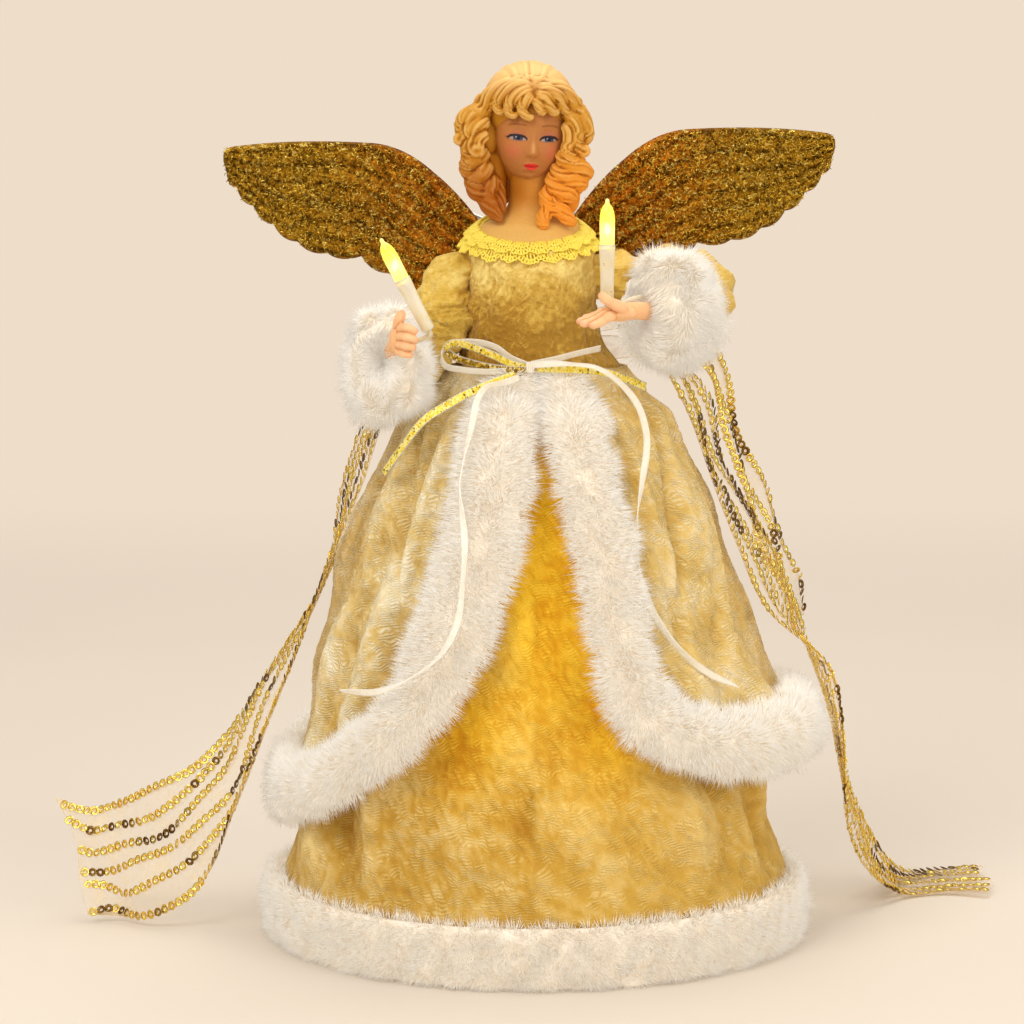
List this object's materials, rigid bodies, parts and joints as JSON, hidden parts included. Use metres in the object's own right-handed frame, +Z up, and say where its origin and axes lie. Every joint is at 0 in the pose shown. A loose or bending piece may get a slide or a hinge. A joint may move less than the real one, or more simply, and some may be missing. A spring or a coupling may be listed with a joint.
{
  "type": "angel tree topper",
  "caption": "Lit angel tree topper: a doll in a fur-trimmed velvet gown over a hollow cone, with folding wings, lifting arms that hold lamps, and a battery box with a lid and a switch.",
  "frame": {"origin": "middle of the base, on the floor", "axes": "+Z up, front towards -Y, +X the viewer's right"},
  "size_m": [0.3341, 0.1902, 0.2995],
  "materials": {
    "velvet": "crushed gold velvet",
    "under_velvet": "gold velvet lit from inside",
    "fur": "white plush",
    "lace": "crocheted lurex",
    "satin": "satin ribbon",
    "gold_ribbon": "lurex ribbon",
    "sequin": "sheer mesh with ring sequins",
    "tinsel": "glittered felt",
    "skin": "painted soft plastic",
    "hair": "moulded, painted",
    "white_plastic": "moulded",
    "clear_white": "translucent",
    "glow": "lit lamp",
    "steel": "wire and spring sheet",
    "cell": "plain sleeve",
    "foam": "foam"
  },
  "bodies": {
    "body": {"base_cone": "clear_white", "hem_hoop": "white_plastic", "hem_fur": "fur", "underskirt": "under_velvet", "overskirt": "velvet", "overskirt_trim": "fur", "torso_form": "foam", "bodice": "velvet", "head": "skin", "hair": "hair", "lace_collar": "lace", "waist_ribbon": "satin", "bow_knot": "satin", "bow_loop": "satin", "bow_tail_short": "satin", "gold_tail_left": "gold_ribbon", "gold_tail_right": "gold_ribbon", "satin_tail_left": "satin", "satin_tail_right": "satin", "streamer_left": "sequin", "streamer_right": "sequin", "streamer_right_short": "sequin", "wing_bracket": "white_plastic", "battery_box": "white_plastic", "battery_pad": "foam", "cell_left": "cell", "cell_right": "cell", "contact_bridge": "steel", "contact_left": "steel", "contact_right": "steel", "main_lead": "white_plastic", "skirt_lead": "white_plastic", "skirt_lamp_1": "glow", "skirt_lamp_holder_1": "clear_white", "skirt_lamp_2": "glow", "skirt_lamp_holder_2": "clear_white", "skirt_lamp_3": "glow", "skirt_lamp_holder_3": "clear_white"},
    "left_wing": {"wing_left": "tinsel", "wing_wire_left": "steel"},
    "right_wing": {"wing_right": "tinsel", "wing_wire_right": "steel"},
    "left_arm": {"left_sleeve": "velvet", "left_cuff": "fur", "left_hand": "skin", "left_arm_wire": "steel", "left_lamp_holder": "clear_white", "left_lamp": "glow", "left_lamp_lead": "clear_white"},
    "right_arm": {"right_sleeve": "velvet", "right_cuff": "fur", "right_hand": "skin", "right_arm_wire": "steel", "right_lamp_holder": "clear_white", "right_lamp": "glow", "right_lamp_lead": "clear_white"},
    "switch": {"switch_slider": "cell"},
    "lid": {"battery_lid": "white_plastic"}
  },
  "joints": [
    {"name": "left_wing_fold", "type": "hinge", "parent": "body", "child": "left_wing", "pos_m": [-0.013, 0.0256, 0.233], "axis": [0, 0, -1], "range_deg": [-10, 40]},
    {"name": "right_wing_fold", "type": "hinge", "parent": "body", "child": "right_wing", "pos_m": [0.009, 0.0256, 0.233], "axis": [0, 0, 1], "range_deg": [-10, 40]},
    {"name": "left_arm_lift", "type": "hinge", "parent": "body", "child": "left_arm", "pos_m": [-0.0232, 0.003, 0.2265], "axis": [1, 0, 0], "range_deg": [-20, 4]},
    {"name": "right_arm_lift", "type": "hinge", "parent": "body", "child": "right_arm", "pos_m": [0.0192, 0.003, 0.2265], "axis": [1, 0, 0], "range_deg": [-20, 4]},
    {"name": "switch_slide", "type": "slide", "parent": "body", "child": "switch", "axis": [1, 0, 0], "range_m": [0, 0.004]},
    {"name": "lid_slide", "type": "slide", "parent": "body", "child": "lid", "axis": [0, 0.3569, -0.9342], "range_m": [0, 0.014]}
  ]
}
